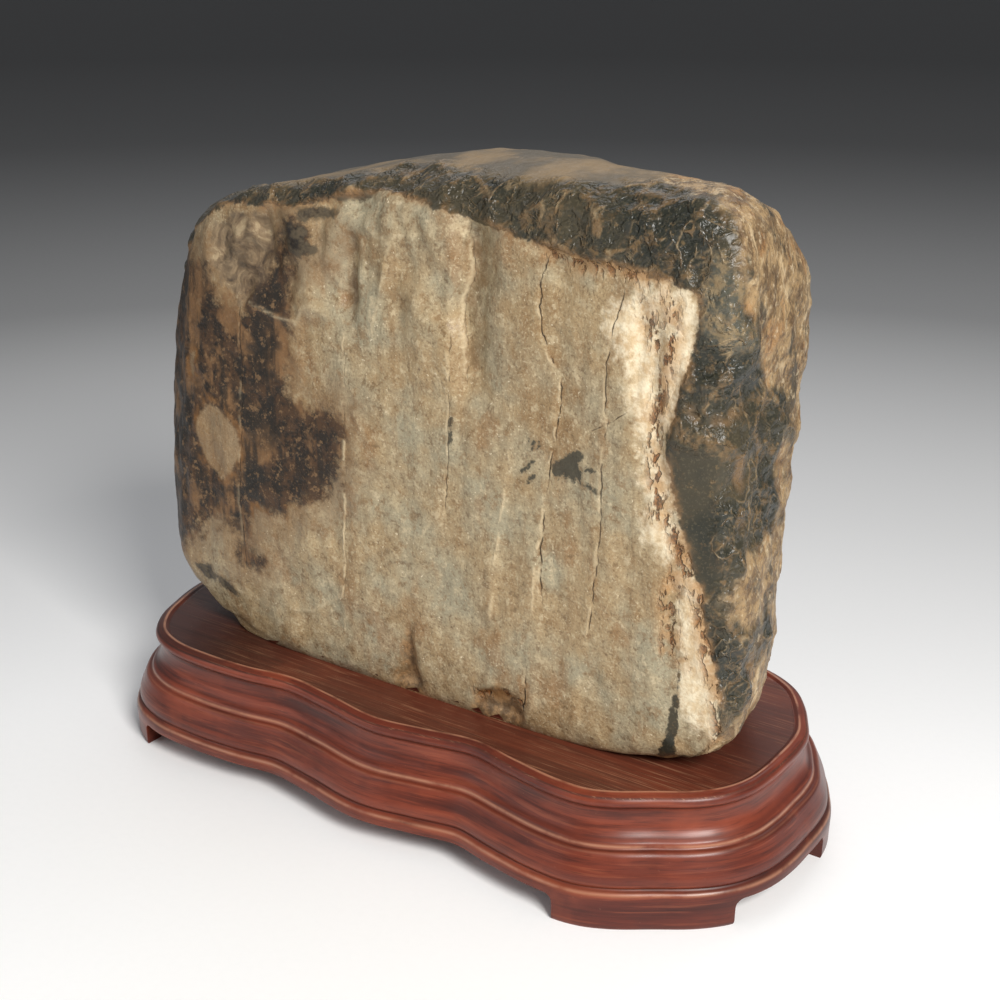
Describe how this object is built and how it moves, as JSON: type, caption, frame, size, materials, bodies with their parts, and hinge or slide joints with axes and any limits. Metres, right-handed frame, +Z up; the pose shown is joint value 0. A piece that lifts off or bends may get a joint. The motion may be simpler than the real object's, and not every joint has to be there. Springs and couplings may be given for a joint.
{
  "type": "scholars rock on stand",
  "caption": "Upright blocky natural stone with a pale veined face and dark flaked end, resting in a carved lobed hardwood stand with moulded edge and low bracket feet.",
  "frame": {"origin": "floor level under the middle of the stand, which is the centre of the whole object's bounding box in plan", "axes": "+X along the stand's long side towards the dark flaked end of the stone, +Y towards the back so the pale face looks to -Y, +Z up"},
  "size_m": [0.292, 0.1428, 0.2382],
  "materials": {
    "stone": "water-worn and hand-polished natural stone, pale grey-tan face with brown-black stains, near-black green glossy flaked end and top, ochre crust along the edges",
    "rosewood": "satin lacquered red-brown rosewood with fine dark grain along the length and lighter worn beads"
  },
  "bodies": {
    "root": {"rock": "stone", "stand": "rosewood"}
  },
  "joints": []
}
